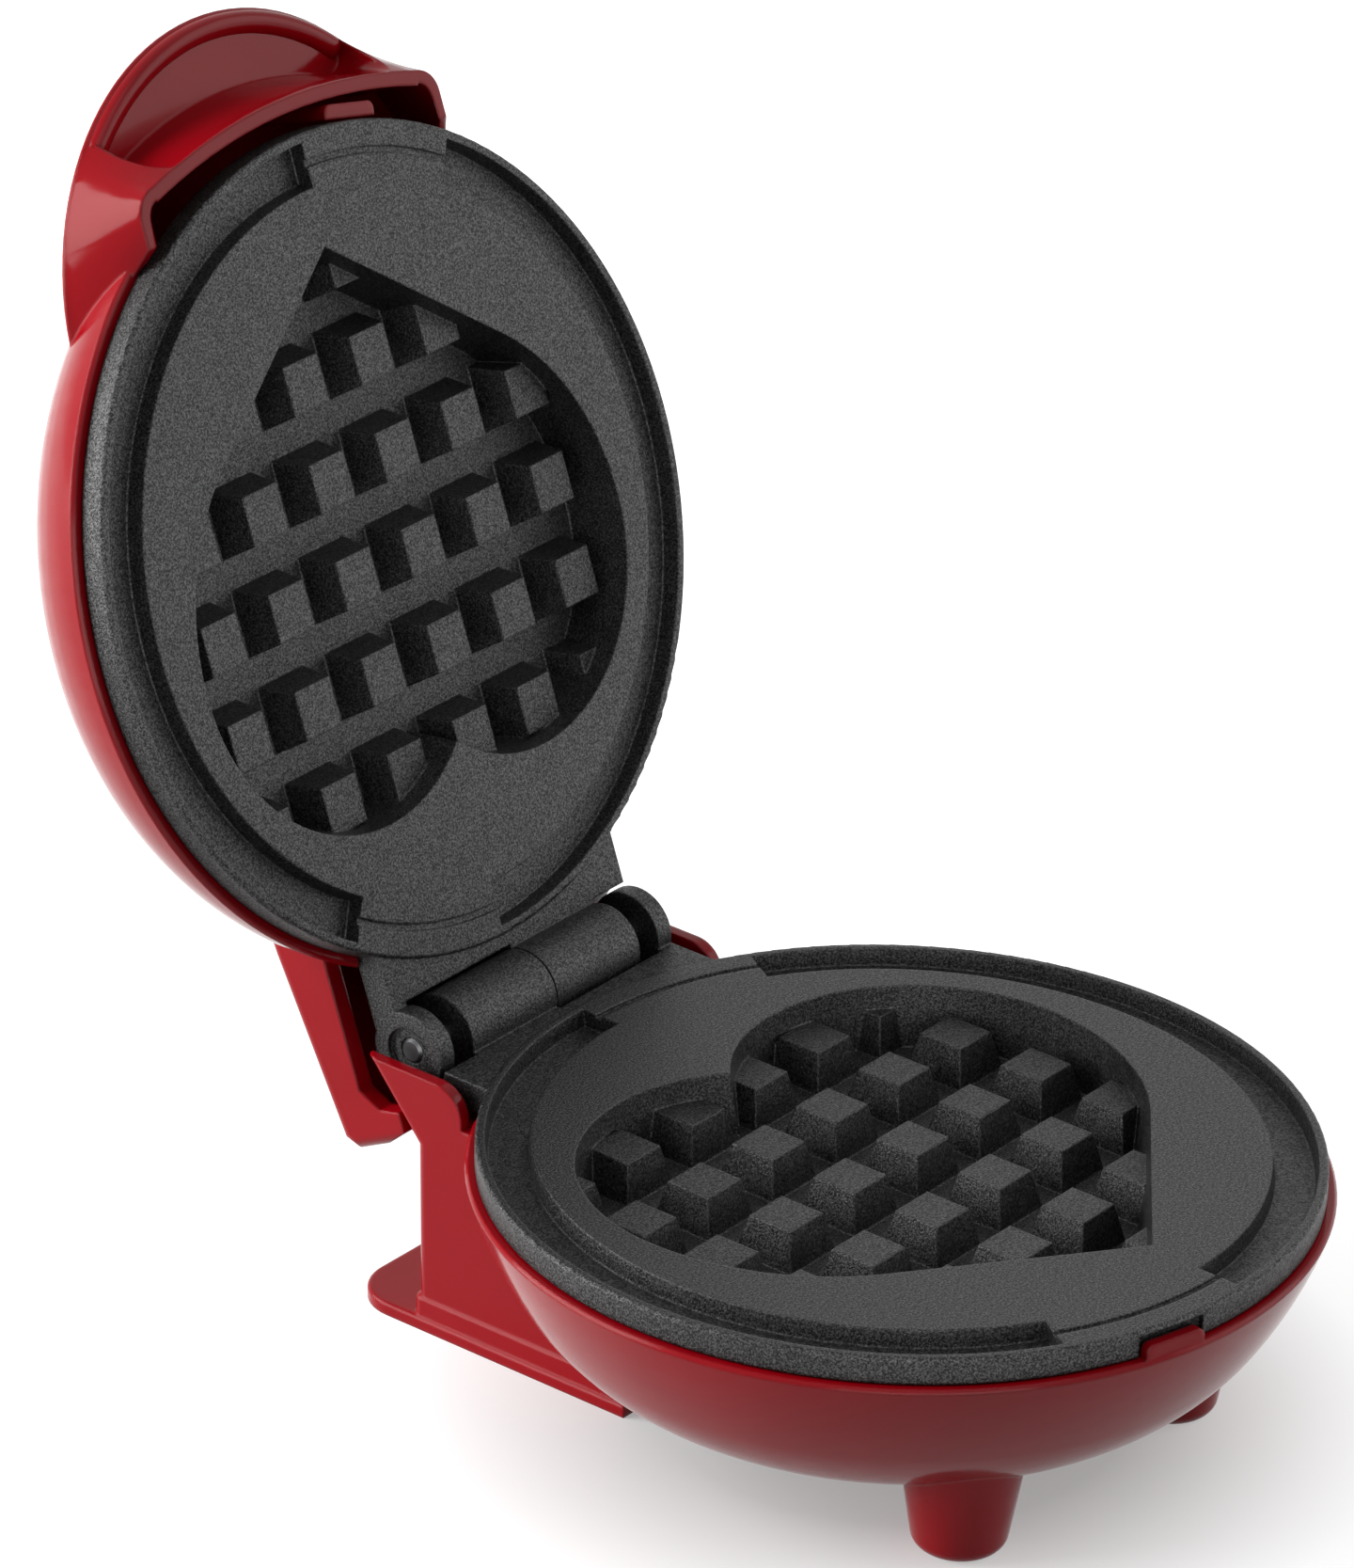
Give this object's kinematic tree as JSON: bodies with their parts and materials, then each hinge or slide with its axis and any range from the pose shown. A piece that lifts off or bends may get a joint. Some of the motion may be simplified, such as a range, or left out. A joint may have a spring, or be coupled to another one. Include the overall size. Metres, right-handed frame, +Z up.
{
  "type": "mini waffle maker",
  "caption": "Small round waffle maker standing open: hinged lid with a brow-shaped handle, two cast plates with a heart-shaped peg grid, bowl base on feet and a rear column.",
  "frame": {"origin": "middle of the footprint of the open appliance, on the floor", "axes": "+Z up, +X to the appliance's right side as seen from the front, +Y from the front feet towards the hinge and the rear"},
  "size_m": [0.127, 0.2086, 0.1803],
  "materials": {
    "red_gloss_shell": "glossy deep red moulded plastic",
    "nonstick_coating": "satin charcoal non-stick coating with fine light speckle on cast aluminium",
    "black_plastic": "matte black plastic",
    "ivory_plastic": "matte ivory plastic",
    "steel": "plain zinc-plated steel",
    "element_sheath": "dull grey metal sheath",
    "shield_sheet": "bright aluminium sheet",
    "thermostat_case": "satin aluminium cup",
    "fuse_sleeve": "pale glass-fibre sleeve",
    "black_rubber": "matte black rubber",
    "amber_lens": "clear amber",
    "lamp_glass": "clear glass"
  },
  "bodies": {
    "base": {"lower_housing": "red_gloss_shell", "base_cover": "black_plastic", "base_cover_screws": "steel", "foot_plugs": "black_rubber", "front_plate_screws": "steel", "rear_plate_screws": "steel", "terminal_block": "ivory_plastic", "cord_gland": "black_rubber", "hinge_pin": "steel", "lower_cooking_plate": "nonstick_coating", "lower_heating_element": "element_sheath", "lower_element_clips": "steel", "lower_heat_shield": "shield_sheet", "lower_shield_screws": "steel", "thermostat": "thermostat_case", "thermostat_spring": "steel", "thermal_fuse": "fuse_sleeve", "thermal_fuse_clip": "steel"},
    "lid": {"upper_housing": "red_gloss_shell", "upper_cooking_plate": "nonstick_coating", "upper_heating_element": "element_sheath", "upper_element_clips": "steel", "upper_heat_shield": "shield_sheet", "upper_shield_screws": "steel", "upper_plate_studs": "steel", "indicator_lens": "amber_lens", "indicator_lamp": "lamp_glass"}
  },
  "joints": [
    {"name": "lid_hinge", "type": "hinge", "parent": "base", "child": "lid", "pos_m": [0, 0.03005, 0.0432], "axis": [1, 0, 0], "range_deg": [0, 110.6]}
  ]
}
